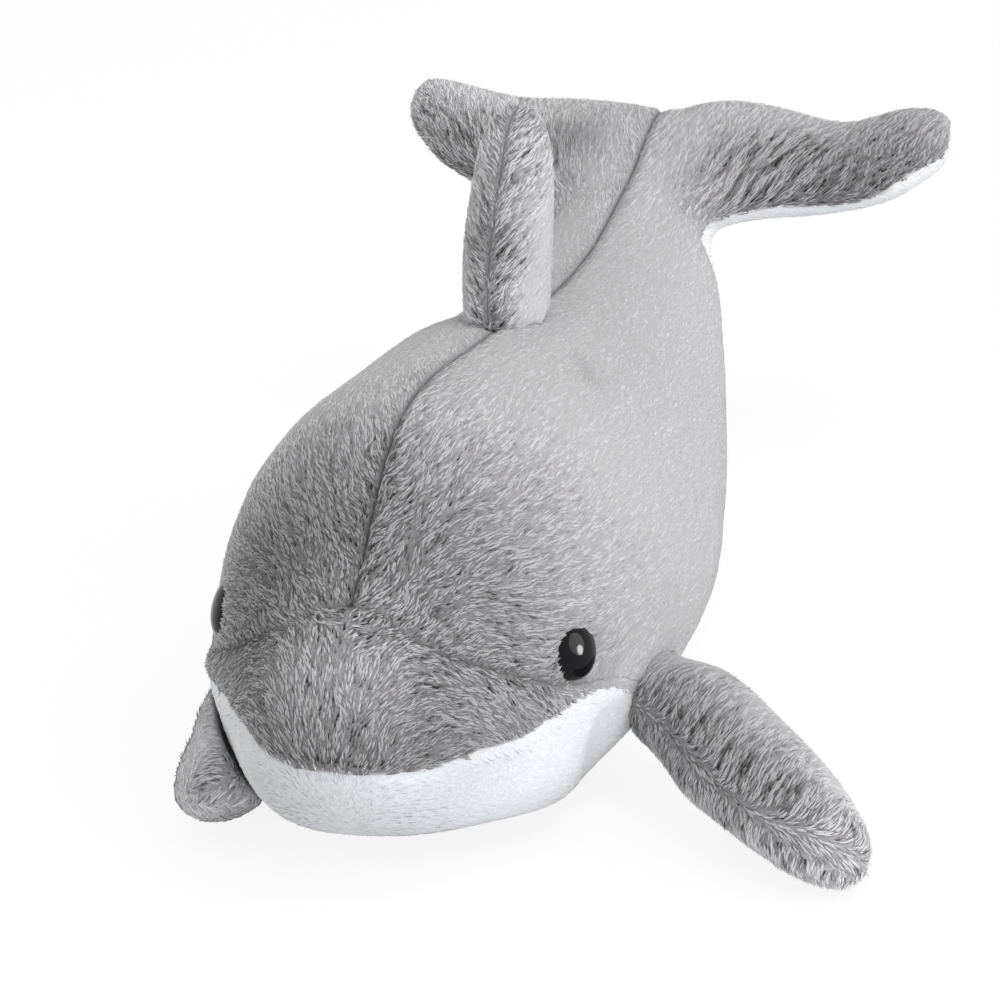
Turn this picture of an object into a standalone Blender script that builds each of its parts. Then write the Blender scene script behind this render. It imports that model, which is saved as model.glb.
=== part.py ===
"""A plush dolphin: a stuffed skin of four cloth panels with fins, flippers and safety eyes.

The dolphin lies on its belly with its nose towards -Y and its left side towards +X.
The origin is the middle of the flat patch of belly that it rests on.
Side-view places are given as a station, measured back from the tip of the nose, and a height.
"""

import math

import bmesh
import bpy
from mathutils import Matrix, Vector
from mathutils.bvhtree import BVHTree

# Overall sizes of the body, in metres
BODY_LENGTH = 0.246
BODY_HEIGHT = 0.088
BODY_WIDTH = 0.098
REST_STATION = 0.366 * BODY_LENGTH    # station of the origin, the middle of the resting patch

# Cloth and clearances
CLOTH_THICKNESS = 0.0025      # backing and pile together
CLEARANCE = 0.0003            # between two pieces that touch
SEAM_GAP = 0.0004             # between two panels at a seam

# Dorsal fin
DORSAL_STATION = 0.516 * BODY_LENGTH  # station of the middle of its root
DORSAL_HEIGHT = 0.044
DORSAL_CHORD = 0.030
DORSAL_THICKNESS = 0.0195
DORSAL_SWEEP = 0.017          # how far the tip lies behind the root
DORSAL_HOOK = 0.45            # share of the sweep that comes from the fin's backward curve

# Flippers
FLIPPER_STATION = 0.2845 * BODY_LENGTH     # station of the middle of the root
FLIPPER_HEIGHT = 0.239 * BODY_HEIGHT       # height of the middle of the root
FLIPPER_LENGTH = 0.068
FLIPPER_WIDTH = 0.0268
FLIPPER_THICKNESS = 0.0225
FLIPPER_LEFT_AIM = (0.77, -0.60, -0.20)    # the left one spreads to the side
FLIPPER_RIGHT_AIM = (-0.11, -0.98, -0.14)  # the right one points to the nose
FLIPPER_TUCK_IN = 0.008                    # and is pressed in against the flank
FLIPPER_TUCK_BACK = 0.010                  # and back along it
FLIPPER_ROLL_DEGREES = 18                  # how far the leading edge turns up

# Tail flukes
FLUKE_SPAN = 0.142
FLUKE_CHORD = 0.040
FLUKE_THICKNESS = 0.020
FLUKE_OVERLAP = 0.010         # from the middle of the flukes' root back to the tail's end
FLUKE_RISE = 0.007            # how far they lie above the tail's widest line
FLUKE_SHIFT = 0.0025          # they are sewn on this far to the left
FLUKE_PITCH_DEGREES = 18      # how far their trailing edge turns up

# Safety eyes
EYE_STATION = 0.1687 * BODY_LENGTH
EYE_HEIGHT = 0.466 * BODY_HEIGHT
EYE_DIAMETER = 0.0118
EYE_DOME_HEIGHT = 0.0040
EYE_SINK = 0.0017             # how far its flat back is pressed into the pile
EYE_RIM = 0.18                # height of the upright rim as a share of the dome's height
STEM_DIAMETER = 0.0040
STEM_LENGTH = 0.0110
STEM_POINT = 0.7              # width of the stem's end as a share of the stem
WASHER_DIAMETER = 0.0130
WASHER_THICKNESS = 0.0014
STEM_FIT = 0.0003             # gap around the stem in the cloth and the washer

# Fineness of the faceted forms
BODY_SIDES = 28
BODY_RINGS_PER_STATION = 2
FIN_SIDES = 14
ROUND_SIDES = 20
EYE_RINGS = 6

# The body's sections, from nose to tail:
# station, top, bottom and height of the widest line as shares of length and height,
# and half width as a share of half the body's width
BODY_SECTIONS = (
    (0.000, 0.385, 0.385, 0.385, 0.00),
    (0.008, 0.480, 0.290, 0.360, 0.20),
    (0.024, 0.560, 0.205, 0.335, 0.34),
    (0.057, 0.645, 0.120, 0.310, 0.50),
    (0.106, 0.750, 0.050, 0.295, 0.67),
    (0.154, 0.875, 0.010, 0.295, 0.82),
    (0.211, 0.977, -0.012, 0.305, 0.93),
    (0.293, 1.000, -0.018, 0.330, 0.99),
    (0.398, 0.955, -0.018, 0.345, 1.00),
    (0.528, 0.885, -0.006, 0.370, 0.93),
    (0.650, 0.842, 0.090, 0.420, 0.79),
    (0.772, 0.840, 0.270, 0.525, 0.62),
    (0.874, 0.890, 0.465, 0.650, 0.45),
    (0.955, 0.950, 0.650, 0.775, 0.31),
    (0.990, 0.945, 0.780, 0.855, 0.18),
    (1.000, 0.880, 0.880, 0.880, 0.00),
)

# Side-view seams, as shares of the body's length and height
BELLY_SEAM = (
    (-0.10, 0.360), (0.000, 0.360), (0.050, 0.385), (0.110, 0.365), (0.175, 0.355),
    (0.225, 0.315), (0.260, 0.275), (0.340, 0.270), (0.450, 0.280), (0.570, 0.300),
    (0.670, 0.370), (0.772, 0.500), (0.830, 0.600),
)
BROW_SEAM = (
    (0.085, 1.100), (0.078, 0.690), (0.070, 0.650), (0.076, 0.590), (0.095, 0.535),
    (0.122, 0.470), (0.148, 0.425), (0.185, 0.390), (0.220, 0.350), (0.252, 0.285),
)

# Flukes across the span: share of the half span, then the leading and trailing edge and the
# thickness, as shares of the chord and thickness, and the lift of the section as a share of it
FLUKE_SECTIONS = (
    (0.00, -0.72, 0.47, 0.80, 0.00),
    (0.20, -0.62, 0.58, 0.90, 0.00),
    (0.42, -0.44, 0.62, 0.98, -0.02),
    (0.62, -0.28, 0.58, 0.96, -0.06),
    (0.80, -0.13, 0.61, 0.86, -0.04),
    (0.92, 0.06, 0.63, 0.68, 0.02),
    (0.98, 0.20, 0.56, 0.40, 0.06),
    (1.00, 0.38, 0.38, 0.00, 0.08),
)

# Outlines of the dorsal fin and the flippers along their length: share of the length,
# then chord and thickness as shares of the full size
DORSAL_OUTLINE = (
    (-0.28, 1.06, 1.00), (0.00, 1.04, 1.00), (0.25, 1.00, 1.00), (0.50, 0.90, 0.98),
    (0.72, 0.74, 0.90), (0.88, 0.55, 0.72), (0.97, 0.32, 0.40), (1.00, 0.00, 0.00),
)
FLIPPER_OUTLINE = (
    (-0.20, 0.62, 0.70), (0.00, 0.74, 0.80), (0.22, 0.92, 0.95), (0.48, 1.00, 1.00),
    (0.72, 0.95, 0.94), (0.88, 0.74, 0.74), (0.97, 0.42, 0.42), (1.00, 0.00, 0.00),
)

LOWER_FULLNESS = 2.35         # exponent of the sections' lower half, where 2 is an oval
POD_HEEL = 0.02               # share of a fin's length by which its hidden end is drawn out
SEAM_TURN = 0.6               # share of the flukes' chord over which the belly seam joins them
SEAM_DIP = 0.5                # how low the brow seam runs out under the belly seam
FAR = 0.2                     # half the width of a cutter that passes right through
NEXT_TO_NOTHING = 1e-5

GREY = (0.46, 0.45, 0.47)
WHITE = (0.86, 0.89, 0.93)
FIBRE = (0.92, 0.92, 0.90)
BLACK = (0.01, 0.01, 0.012)


def clear_scene():
    for item in list(bpy.data.objects):
        bpy.data.objects.remove(item, do_unlink=True)


def make_collection(name):
    collection = bpy.data.collections.new(name)
    bpy.context.scene.collection.children.link(collection)
    return collection


def make_material(name, colour, roughness):
    material = bpy.data.materials.new(name)
    material.use_nodes = True
    shader = material.node_tree.nodes["Principled BSDF"]
    shader.inputs["Base Color"].default_value = (*colour, 1.0)
    shader.inputs["Roughness"].default_value = roughness
    shader.inputs["Metallic"].default_value = 0.0
    return material


def spot(side, station, height):
    """A point from its distance to the left, its station and its height."""
    return Vector((side, station - REST_STATION, height))


def catmull_rom(before, start, end, after, share):
    """A point of the smooth curve through four rows, each a tuple of numbers."""
    smooth = []
    for a, b, c, d in zip(before, start, end, after):
        smooth.append(0.5 * (2 * b + (c - a) * share
                             + (2 * a - 5 * b + 4 * c - d) * share ** 2
                             + (3 * b - a - 3 * c + d) * share ** 3))
    return smooth


def smooth_rows(rows, steps):
    """Rows filled in with a smooth curve, steps to each interval."""
    filled = []
    for i in range(len(rows) - 1):
        before = rows[max(i - 1, 0)]
        after = rows[min(i + 2, len(rows) - 1)]
        for k in range(steps):
            filled.append(catmull_rom(before, rows[i], rows[i + 1], after, k / steps))
    filled.append(list(rows[-1]))
    return filled


def add_object(name, mesh, collection, material=None):
    item = bpy.data.objects.new(name, mesh)
    collection.objects.link(item)
    if material is not None:
        mesh.materials.clear()
        mesh.materials.append(material)
    return item


def make_cutter(name, mesh, collection):
    cutter = add_object(name, mesh, collection)
    cutter.hide_render = True
    cutter.display_type = "WIRE"
    return cutter


def mesh_from(bm, name):
    bmesh.ops.recalc_face_normals(bm, faces=bm.faces)
    mesh = bpy.data.meshes.new(name)
    bm.to_mesh(mesh)
    bm.free()
    return mesh


def loft(name, rings, first_tip, last_tip):
    """A closed skin over rings of points, drawn to a point at each end."""
    bm = bmesh.new()
    loops = [[bm.verts.new(point) for point in ring] for ring in rings]
    count = len(rings[0])
    for near, far in zip(loops, loops[1:]):
        for i in range(count):
            j = (i + 1) % count
            bm.faces.new((near[i], near[j], far[j], far[i]))
    for loop, tip in ((loops[0], first_tip), (loops[-1], last_tip)):
        pole = bm.verts.new(tip)
        for i in range(count):
            bm.faces.new((loop[i], loop[(i + 1) % count], pole))
    return mesh_from(bm, name)


def body_stations():
    """The smooth run of body sections in metres: station, top, bottom, widest, half width."""
    half_width = BODY_WIDTH / 2
    run = []
    for station, top, bottom, widest, breadth in smooth_rows(BODY_SECTIONS,
                                                             BODY_RINGS_PER_STATION):
        run.append((station * BODY_LENGTH, top * BODY_HEIGHT, bottom * BODY_HEIGHT,
                    widest * BODY_HEIGHT, max(breadth, 0) * half_width))
    return run


def body_ring(station, top, bottom, widest, half_width, inset):
    """One oval section, flat underneath where it would sink below the ground."""
    ring = []
    rise = max(top - widest - inset, NEXT_TO_NOTHING)
    drop = max(widest - bottom - inset, NEXT_TO_NOTHING)
    breadth = max(half_width - inset, NEXT_TO_NOTHING)
    for i in range(BODY_SIDES):
        angle = 2 * math.pi * i / BODY_SIDES
        up, out = math.cos(angle), math.sin(angle)
        if up > 0:
            side, height = breadth * out, widest + rise * up
        else:
            power = 2 / LOWER_FULLNESS
            side = breadth * math.copysign(abs(out) ** power, out)
            height = widest - drop * abs(up) ** power
        ring.append(spot(side, station, max(height, inset)))
    return ring


def body_mesh(name, inset):
    """The body without its fins, drawn in by the inset on every side."""
    run = body_stations()
    first, last = run[0], run[-1]
    inner = [row for row in run[1:-1]
             if first[0] + inset + NEXT_TO_NOTHING < row[0] < last[0] - inset - NEXT_TO_NOTHING
             and row[4] > inset + NEXT_TO_NOTHING]
    rings = [body_ring(*row, inset) for row in inner]
    nose = spot(0, first[0] + inset, first[3])
    tail = spot(0, last[0] - inset, last[3])
    return loft(name, rings, nose, tail)


def oval(centre, along, across, half_chord, half_thickness):
    ring = []
    for i in range(FIN_SIDES):
        angle = 2 * math.pi * i / FIN_SIDES
        ring.append(centre + along * (half_chord * math.cos(angle))
                    + across * (half_thickness * math.sin(angle)))
    return ring


def fluke_mesh(name, inset):
    """Both flukes as one form that runs from tip to tip across the tail."""
    pitch = math.radians(FLUKE_PITCH_DEGREES)
    along = Vector((0, math.cos(pitch), math.sin(pitch)))
    across = Vector((0, -math.sin(pitch), math.cos(pitch)))
    root = fluke_root()
    half_span = FLUKE_SPAN / 2
    half = smooth_rows(FLUKE_SECTIONS, 2)
    rows = [(-row[0], *row[1:]) for row in reversed(half[1:])] + half
    rings = []
    for share, lead, trail, thick, lift in rows:
        side = share * half_span
        half_chord = (trail - lead) / 2 * FLUKE_CHORD - inset
        half_thick = thick * FLUKE_THICKNESS / 2 - inset
        if abs(side) < half_span - inset and min(half_chord, half_thick) > NEXT_TO_NOTHING:
            centre = (root + Vector((side, 0, 0)) + along * ((trail + lead) / 2 * FLUKE_CHORD)
                      + across * (lift * FLUKE_THICKNESS))
            rings.append(oval(centre, along, across, half_chord, half_thick))
    tips = []
    for share, lead, trail, thick, lift in (rows[0], rows[-1]):
        reach = share * (half_span - inset)
        tips.append(root + Vector((reach, 0, 0)) + along * (lead * FLUKE_CHORD)
                    + across * (lift * FLUKE_THICKNESS))
    return loft(name, rings, *tips)


def fluke_root():
    """The middle of the flukes' root, on the height that the tail has there."""
    station = BODY_LENGTH - FLUKE_OVERLAP
    return spot(FLUKE_SHIFT, station, body_height_at(station, 3) + FLUKE_RISE)


def body_height_at(station, column):
    """Top (1), bottom (2) or widest line (3) of the body at a station."""
    run = body_stations()
    for near, far in zip(run, run[1:]):
        if near[0] <= station <= far[0]:
            share = (station - near[0]) / max(far[0] - near[0], NEXT_TO_NOTHING)
            return near[column] + share * (far[column] - near[column])
    return run[-1][column]


def pod_mesh(name, outline, centre_at, chord, thickness, length, along, across, inset):
    """A plump fin: oval sections along its own line, drawn to a point at each end."""
    rows = smooth_rows(outline, 2)
    rings = []
    for share, wide, thick in rows:
        half_chord = wide * chord / 2 - inset
        half_thick = thick * thickness / 2 - inset
        inside = share * length < length - inset
        if inside and min(half_chord, half_thick) > NEXT_TO_NOTHING:
            rings.append(oval(centre_at(share), along, across, half_chord, half_thick))
    tip = centre_at(1 - inset / length)
    end = centre_at(outline[0][0] - POD_HEEL)
    return loft(name, rings, end, tip)


def dorsal_mesh(name, inset):
    base = spot(0, DORSAL_STATION, body_height_at(DORSAL_STATION, 1))

    def centre_at(share):
        curved = DORSAL_HOOK * share * abs(share) + (1 - DORSAL_HOOK) * share
        back = DORSAL_SWEEP * curved
        return base + Vector((0, back, DORSAL_HEIGHT * share))

    return pod_mesh(name, DORSAL_OUTLINE, centre_at, DORSAL_CHORD, DORSAL_THICKNESS,
                    DORSAL_HEIGHT, Vector((0, 1, 0)), Vector((1, 0, 0)), inset)


def flipper_axes(side):
    """Direction of a flipper, of its chord and of its flat face."""
    aim = Vector(FLIPPER_LEFT_AIM if side > 0 else FLIPPER_RIGHT_AIM)
    aim.x *= side
    aim.normalize()
    chord = aim.cross(Vector((0, 0, 1))).normalized()
    chord.rotate(Matrix.Rotation(-side * math.radians(FLIPPER_ROLL_DEGREES), 3, aim))
    return aim, chord, chord.cross(aim).normalized()


def flipper_mesh(name, side, inset):
    aim, chord, face = flipper_axes(side)
    root = side_spot(side, FLIPPER_STATION, FLIPPER_HEIGHT)[0]
    if side < 0:
        root += Vector((-side * FLIPPER_TUCK_IN, FLIPPER_TUCK_BACK, 0))
    return pod_mesh(name, FLIPPER_OUTLINE, lambda share: root + aim * (FLIPPER_LENGTH * share),
                    FLIPPER_WIDTH, FLIPPER_THICKNESS, FLIPPER_LENGTH, chord, face, inset)


def side_spot(side, station, height):
    """Where a level line from the side meets the body, and the skin's direction there."""
    bm = bmesh.new()
    mesh = body_mesh("probe", 0.0)
    bm.from_mesh(mesh)
    tree = BVHTree.FromBMesh(bm)
    bm.free()
    bpy.data.meshes.remove(mesh)
    place, normal, _, _ = tree.ray_cast(spot(side * FAR, station, height),
                                        Vector((-side, 0, 0)))
    return place, normal


def prism(name, outline, half_width):
    """A side-view outline of stations and heights, drawn out across the whole body."""
    bm = bmesh.new()
    corners = [bm.verts.new(spot(-half_width, station, height)) for station, height in outline]
    face = bm.faces.new(corners)
    drawn = bmesh.ops.extrude_face_region(bm, geom=[face])
    moved = [v for v in drawn["geom"] if isinstance(v, bmesh.types.BMVert)]
    bmesh.ops.translate(bm, verts=moved, vec=(2 * half_width, 0, 0))
    return mesh_from(bm, name)


def block(name, low, high):
    bm = bmesh.new()
    bmesh.ops.create_cube(bm, size=1.0)
    size = [h - l for h, l in zip(high, low)]
    middle = [(h + l) / 2 for h, l in zip(high, low)]
    bmesh.ops.scale(bm, vec=size, verts=bm.verts)
    bmesh.ops.translate(bm, vec=middle, verts=bm.verts)
    return mesh_from(bm, name)


def seam_line(rows, steps=2):
    """A side-view seam in metres."""
    return [(station * BODY_LENGTH, height * BODY_HEIGHT)
            for station, height in smooth_rows(rows, steps)]


def belly_seam_line():
    """The belly seam, which follows the flat of the flukes behind the tail's root."""
    line = seam_line(BELLY_SEAM)
    root = fluke_root() + Vector((0, REST_STATION, 0))
    slope = math.tan(math.radians(FLUKE_PITCH_DEGREES))
    for station in (root.y - SEAM_TURN * FLUKE_CHORD, root.y + FAR / 2):
        line.append((station, root.z + slope * (station - root.y)))
    return line


def shifted(line, distance):
    """A side-view line moved to its left by a distance, as seen along its run."""
    moved = []
    for i, (station, height) in enumerate(line):
        before = line[max(i - 1, 0)]
        after = line[min(i + 1, len(line) - 1)]
        run, rise = after[0] - before[0], after[1] - before[1]
        size = math.hypot(run, rise)
        moved.append((station - rise / size * distance, height + run / size * distance))
    return moved


def add_boolean(item, operation, cutter):
    modifier = item.modifiers.new(cutter.name, "BOOLEAN")
    modifier.operation = operation
    modifier.object = cutter


def joined_form(name, first, second, collection):
    """The union of two forms, as a plain mesh."""
    body = make_cutter(name + "_body", first, collection)
    extra = make_cutter(name + "_extra", second, collection)
    add_boolean(body, "UNION", extra)
    depsgraph = bpy.context.evaluated_depsgraph_get()
    mesh = bpy.data.meshes.new_from_object(body.evaluated_get(depsgraph))
    mesh.name = name
    for item in (body, extra):
        bpy.data.objects.remove(item, do_unlink=True)
    return mesh


def body_form(name, inset, collection):
    """The body with its flukes."""
    return joined_form(name, body_mesh(name, inset), fluke_mesh(name + "_flukes", inset),
                       collection)


def turned(name, profile, place, direction, collection, material=None):
    """A profile of radius and height, turned about its axis and set at a place.

    A profile that starts on the axis also ends there, and any other is a closed outline.
    """
    bm = bmesh.new()
    points = [bm.verts.new((radius, 0, height)) for radius, height in profile]
    onward = points[1:] if profile[0][0] == 0.0 else points[1:] + points[:1]
    edges = [bm.edges.new(pair) for pair in zip(points, onward)]
    bmesh.ops.spin(bm, geom=points + edges, axis=(0, 0, 1), cent=(0, 0, 0),
                   angle=2 * math.pi, steps=ROUND_SIDES, use_merge=True)
    bmesh.ops.remove_doubles(bm, verts=bm.verts, dist=NEXT_TO_NOTHING / 10)
    turn = Vector((0, 0, 1)).rotation_difference(direction).to_matrix().to_4x4()
    bmesh.ops.transform(bm, matrix=Matrix.Translation(place) @ turn, verts=bm.verts)
    mesh = mesh_from(bm, name)
    return add_object(name, mesh, collection, material)


def solid_rod(name, radius, place, direction, start, end, collection):
    """A plain cylinder along a direction, used as a cutter."""
    bm = bmesh.new()
    bmesh.ops.create_cone(bm, cap_ends=True, segments=ROUND_SIDES, radius1=radius,
                          radius2=radius, depth=end - start)
    bmesh.ops.translate(bm, vec=(0, 0, (start + end) / 2), verts=bm.verts)
    turn = Vector((0, 0, 1)).rotation_difference(direction).to_matrix().to_4x4()
    bmesh.ops.transform(bm, matrix=Matrix.Translation(place) @ turn, verts=bm.verts)
    return make_cutter(name, mesh_from(bm, name), collection)


def turned_block(name, place, axes, low, high, collection):
    """A block along three directions, used as a cutter."""
    mesh = block(name, low, high)
    along, chord, face = axes
    turn = Matrix((chord, along, face)).transposed().to_4x4()
    mesh.transform(Matrix.Translation(place) @ turn)
    return make_cutter(name, mesh, collection)


def side_cutters(cutters):
    """Blocks that keep one side of the middle seam."""
    edge = SEAM_GAP / 2
    left = make_cutter("left_side", block("left_side", (edge, -FAR, -FAR), (FAR, FAR, FAR)),
                       cutters)
    right = make_cutter("right_side", block("right_side", (-FAR, -FAR, -FAR), (-edge, FAR, FAR)),
                        cutters)
    return {"left": left, "right": right}


def seam_cutters(cutters):
    """Side-view regions above and below the belly seam, before and behind the brow seam."""
    edge = SEAM_GAP / 2
    belly = belly_seam_line()
    brow = seam_line(BROW_SEAM)
    brow.append((brow[-1][0] + CLOTH_THICKNESS, SEAM_DIP * brow[-1][1]))
    front, rear = -FAR, BODY_LENGTH + FAR
    outlines = {
        "below_belly_seam": shifted(belly, -edge) + [(rear, -FAR), (front, -FAR)],
        "above_belly_seam": shifted(belly, edge) + [(rear, FAR), (front, FAR)],
        "before_brow_seam": shifted(brow, -edge) + [(brow[-1][0], -FAR), (front, -FAR),
                                                    (front, FAR)],
        "behind_brow_seam": shifted(brow, edge) + [(brow[-1][0], -FAR), (rear, -FAR),
                                                   (rear, FAR)],
    }
    return {name: make_cutter(name, prism(name, outline, FAR), cutters)
            for name, outline in outlines.items()}


def make_body(parts, cutters, cloth, bores, pockets):
    """The stuffed body: four cloth panels round the filling."""
    outer = body_form("body_outer", 0.0, cutters)
    inner = make_cutter("body_inner", body_form("body_inner", CLOTH_THICKNESS, cutters), cutters)
    seams = seam_cutters(cutters)
    sides = side_cutters(cutters)
    regions = {
        "back_panel_left": (seams["above_belly_seam"], seams["behind_brow_seam"], sides["left"]),
        "back_panel_right": (seams["above_belly_seam"], seams["behind_brow_seam"],
                             sides["right"]),
        "snout_panel": (seams["above_belly_seam"], seams["before_brow_seam"]),
        "belly_panel": (seams["below_belly_seam"],),
    }
    for name, region in regions.items():
        material = cloth["white"] if name == "belly_panel" else cloth["grey"]
        panel = add_object(name, outer.copy(), parts, material)
        add_boolean(panel, "DIFFERENCE", inner)
        for cutter in region:
            add_boolean(panel, "INTERSECT", cutter)
        for side, holes in bores.items():
            for hole in holes if name.endswith(side) or name == "snout_panel" else ():
                add_boolean(panel, "DIFFERENCE", hole)
    bpy.data.meshes.remove(outer)
    core = body_form("body_filling", CLOTH_THICKNESS + CLEARANCE, cutters)
    filling = add_object("body_filling", core, parts, cloth["fibre"])
    for pocket in pockets:
        add_boolean(filling, "DIFFERENCE", pocket)
    return sides


def make_fin(name, form, halves, trim, parts, cutters, cloth):
    """A stuffed fin: two cloth panels round the filling, seated on the body."""
    outer = form(name, 0.0)
    inner = make_cutter(name + "_inner", form(name + "_inner", CLOTH_THICKNESS), cutters)
    for half, cutter in halves.items():
        panel = add_object(f"{name}_{half}", outer.copy(), parts, cloth["grey"])
        for operation, tool in (("DIFFERENCE", inner), ("INTERSECT", cutter),
                                ("DIFFERENCE", trim)):
            add_boolean(panel, operation, tool)
    bpy.data.meshes.remove(outer)
    core = form(name + "_filling", CLOTH_THICKNESS + CLEARANCE)
    filling = add_object(name + "_filling", core, parts, cloth["fibre"])
    add_boolean(filling, "DIFFERENCE", trim)


def make_flipper(side, label, trim, parts, cutters, cloth):
    name = f"flipper_{label}"
    place = side_spot(side, FLIPPER_STATION, FLIPPER_HEIGHT)[0]
    axes = flipper_axes(side)
    edge = SEAM_GAP / 2
    half_sizes = {"upper": ((-FAR, -FAR, edge), (FAR, FAR, FAR)),
                  "lower": ((-FAR, -FAR, -FAR), (FAR, FAR, -edge))}
    halves = {half: turned_block(f"{name}_{half}_side", place, axes, low, high, cutters)
              for half, (low, high) in half_sizes.items()}
    make_fin(name, lambda label_of, inset: flipper_mesh(label_of, side, inset), halves, trim,
             parts, cutters, cloth)


def eye_profile():
    radius = EYE_DIAMETER / 2
    stem = STEM_DIAMETER / 2
    rim = EYE_RIM * EYE_DOME_HEIGHT
    dome = [(radius * math.sin(turn), rim + (EYE_DOME_HEIGHT - rim) * math.cos(turn))
            for turn in (math.pi / 2 * k / EYE_RINGS for k in range(EYE_RINGS + 1))]
    point = STEM_POINT * stem
    return dome + [(radius - rim / 2, 0.0), (stem, 0.0), (stem, stem - STEM_LENGTH),
                   (point, -STEM_LENGTH), (0.0, -STEM_LENGTH)]


def washer_profile():
    bore = STEM_DIAMETER / 2 + STEM_FIT
    hub = bore + WASHER_THICKNESS
    rim = WASHER_DIAMETER / 2
    return [(bore, 0.0), (rim, 0.0), (rim, -WASHER_THICKNESS), (hub, -WASHER_THICKNESS),
            (hub, -2 * WASHER_THICKNESS), (bore, -2 * WASHER_THICKNESS)]


def washer_depth():
    """How far behind the eye the washer's flat face lies, clear of the curved cloth."""
    hollow = WASHER_DIAMETER ** 2 / (4 * BODY_WIDTH)
    return CLEARANCE + CLOTH_THICKNESS - EYE_SINK + hollow


def make_eye(side, label, parts, cutters, plastic):
    """A safety eye with its washer, and the holes that it needs in cloth and filling."""
    place, outward = side_spot(side, EYE_STATION, EYE_HEIGHT)
    seat = place - outward * EYE_SINK
    turned(f"eye_{label}", eye_profile(), seat, outward, parts, plastic["eye"])
    washer_place = seat - outward * washer_depth()
    turned(f"eye_washer_{label}", washer_profile(), washer_place, outward, parts,
           plastic["washer"])
    hole = STEM_DIAMETER / 2 + STEM_FIT
    bore = solid_rod(f"stem_bore_{label}", hole, seat, outward, -STEM_LENGTH, STEM_LENGTH,
                     cutters)
    nest = solid_rod(f"eye_nest_{label}", EYE_DIAMETER / 2 + CLEARANCE, seat, outward,
                     -CLEARANCE, STEM_LENGTH, cutters)
    washer_room = solid_rod(f"washer_room_{label}", WASHER_DIAMETER / 2 + CLEARANCE, seat, outward,
                            -washer_depth() - WASHER_THICKNESS - CLEARANCE, STEM_LENGTH, cutters)
    hub_radius = hole + WASHER_THICKNESS + CLEARANCE
    stem_room = solid_rod(f"stem_room_{label}", hub_radius, seat, outward,
                          -STEM_LENGTH - CLEARANCE, STEM_LENGTH, cutters)
    return (bore, nest), (washer_room, stem_room)


def main():
    clear_scene()
    parts = make_collection("plush_dolphin")
    cutters = make_collection("cutters")
    cloth = {"grey": make_material("grey_plush", GREY, 0.95),
             "white": make_material("white_plush", WHITE, 0.95),
             "fibre": make_material("stuffing_fibre", FIBRE, 1.0)}
    plastic = {"eye": make_material("eye_plastic", BLACK, 0.08),
               "washer": make_material("washer_plastic", FIBRE, 0.5)}

    bores, pockets = {}, []
    for side, label in ((1, "left"), (-1, "right")):
        bores[label], rooms = make_eye(side, label, parts, cutters, plastic)
        pockets.extend(rooms)

    sides = make_body(parts, cutters, cloth, bores, pockets)

    trim = make_cutter("body_trim", body_mesh("body_trim", -CLEARANCE), cutters)
    make_fin("dorsal_fin", dorsal_mesh, sides, trim, parts, cutters, cloth)
    make_flipper(1, "left", trim, parts, cutters, cloth)
    make_flipper(-1, "right", trim, parts, cutters, cloth)


main()
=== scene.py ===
import math

import bmesh
import bpy
import numpy as np
from mathutils import Matrix, Vector
from mathutils.bvhtree import BVHTree


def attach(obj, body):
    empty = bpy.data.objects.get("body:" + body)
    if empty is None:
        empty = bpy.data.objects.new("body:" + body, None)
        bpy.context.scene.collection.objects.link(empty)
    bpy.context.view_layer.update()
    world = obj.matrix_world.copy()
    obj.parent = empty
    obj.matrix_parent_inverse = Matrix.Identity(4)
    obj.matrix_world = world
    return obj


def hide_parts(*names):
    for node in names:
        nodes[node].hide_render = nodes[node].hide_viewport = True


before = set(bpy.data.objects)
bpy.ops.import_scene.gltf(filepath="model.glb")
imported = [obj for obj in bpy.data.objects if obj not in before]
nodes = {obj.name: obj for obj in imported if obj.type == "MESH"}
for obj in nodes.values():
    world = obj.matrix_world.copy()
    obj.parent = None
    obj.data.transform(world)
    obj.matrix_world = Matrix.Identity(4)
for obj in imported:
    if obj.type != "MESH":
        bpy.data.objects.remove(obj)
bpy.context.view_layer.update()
mm = 0.001
same = 1e-6  # points nearer than this, in metres, are merged
workCollection = bpy.context.scene.collection


# Node sockets that take part in sums

class Wire:
    def __init__(self, tree, socket=None):
        self.tree = tree
        self.socket = socket

    def add(self, kind, settings=None, values=None, output=0):
        node = self.tree.nodes.new(kind)
        for name, value in (settings or {}).items():
            if name == "stops":
                ramp = node.color_ramp
                while len(ramp.elements) < len(value):
                    ramp.elements.new(1.0)
                for element, (place, colour) in zip(ramp.elements, value):
                    element.position = place
                    element.color = (*colour, 1.0)
            else:
                setattr(node, name, value)
        for name, value in (values or {}).items():
            if isinstance(value, Wire):
                self.tree.links.new(value.socket, node.inputs[name])
            else:
                node.inputs[name].default_value = value
        return Wire(self.tree, node.outputs[output] if node.outputs else None)

    def math(self, operation, *values):
        return self.add("ShaderNodeMath", {"operation": operation}, dict(enumerate(values)))

    def vector(self, operation, *values):
        output = 1 if operation in ("DOT_PRODUCT", "LENGTH") else 0
        return self.add("ShaderNodeVectorMath", {"operation": operation},
                        dict(enumerate(values)), output)

    def times(self, number):  # a vector made longer or shorter
        return self.add("ShaderNodeVectorMath", {"operation": "SCALE"}, {0: self, "Scale": number})

    def clamped(self):
        return self.add("ShaderNodeClamp", None, {0: self})

    def __add__(self, other):
        return self.math("ADD", self, other)

    __radd__ = __add__

    def __sub__(self, other):
        return self.math("SUBTRACT", self, other)

    def __rsub__(self, other):
        return self.math("SUBTRACT", other, self)

    def __mul__(self, other):
        return self.math("MULTIPLY", self, other)

    __rmul__ = __mul__


# Small helpers

def meshFrom(bm, name):
    mesh = bpy.data.meshes.new(name)
    bm.to_mesh(mesh)
    bm.free()
    return mesh


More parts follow.
